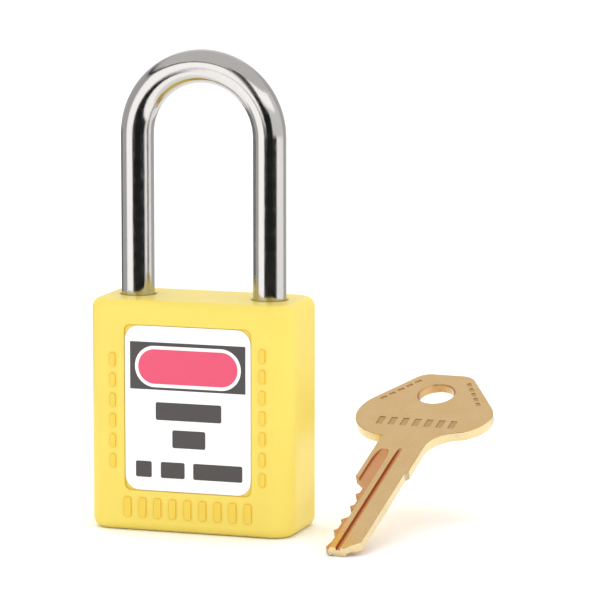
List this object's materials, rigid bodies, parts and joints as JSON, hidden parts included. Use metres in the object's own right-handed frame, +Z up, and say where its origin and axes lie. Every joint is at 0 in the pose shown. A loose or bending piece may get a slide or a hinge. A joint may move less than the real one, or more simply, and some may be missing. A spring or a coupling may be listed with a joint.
{
  "type": "safety padlock",
  "caption": "Lockout padlock with a moulded body, a long round shackle that lifts when the cylinder turns, a label window, and a separate key.",
  "frame": {"origin": "middle of the keyway's mouth, in the plane of the padlock's flat base", "axes": "+Z up along the shackle legs, front label faces -Y, +X towards the short leg and the key"},
  "size_m": [0.0659, 0.0568, 0.0855],
  "materials": {
    "body": "satin moulded thermoplastic, warm yellow",
    "label": "printed vinyl, white with a dark band",
    "core": "glass-filled nylon, black",
    "shackle": "bright chrome plate on hardened steel",
    "steel": "turned steel",
    "spring": "drawn spring wire",
    "zinc": "die-cast zinc, dull",
    "brass": "machined brass",
    "key": "stamped and milled nickel-brass, satin"
  },
  "bodies": {
    "root": {"body_shell": "body", "base_cover": "body", "cover_screws": "steel", "core_block": "core", "bolt_carrier": "zinc", "carrier_lid": "steel", "front_label": "label", "rear_label": "label", "shackle_stop_pin": "steel", "heel_spring": "spring", "cylinder_housing": "brass", "chamber_strip": "brass", "driver_pin_1": "steel", "driver_pin_2": "steel", "driver_pin_3": "steel", "driver_pin_4": "steel", "driver_pin_5": "steel", "driver_spring_1": "spring", "driver_spring_2": "spring", "driver_spring_3": "spring", "driver_spring_4": "spring", "driver_spring_5": "spring"},
    "plug": {"plug": "brass", "retaining_clip": "steel", "lock_cam": "zinc", "key_pin_1": "brass", "key_pin_2": "brass", "key_pin_3": "brass", "key_pin_4": "brass", "key_pin_5": "brass"},
    "shackle": {"shackle": "shackle"},
    "heel_bolt": {"heel_bolt": "steel"},
    "toe_bolt": {"toe_bolt": "steel"},
    "key": {"key": "key"}
  },
  "joints": [
    {"name": "plug_turn", "type": "hinge", "parent": "root", "child": "plug", "pos_m": [0, 0, 0.015], "axis": [0, 0, 1], "range_deg": [0, 90]},
    {"name": "shackle_lift", "type": "slide", "parent": "root", "child": "shackle", "axis": [0, 0, 1], "range_m": [0, 0.0112], "deforming": ["heel_spring"]},
    {"name": "heel_bolt_slide", "type": "slide", "parent": "root", "child": "heel_bolt", "axis": [1, 0, 0], "range_m": [0, 0.0036]},
    {"name": "toe_bolt_slide", "type": "slide", "parent": "root", "child": "toe_bolt", "axis": [-1, 0, 0], "range_m": [0, 0.0036]},
    {"name": "key_lift", "type": "slide", "parent": "root", "child": "key", "axis": [0, 0, 1], "range_m": [0, 0.06]}
  ],
  "couplings": [
    {"joint": "shackle_lift", "follows": "plug_turn", "m_per_rad": 0.0070028},
    {"joint": "heel_bolt_slide", "follows": "plug_turn", "m_per_rad": 0.0022918},
    {"joint": "toe_bolt_slide", "follows": "plug_turn", "m_per_rad": 0.0022918}
  ]
}
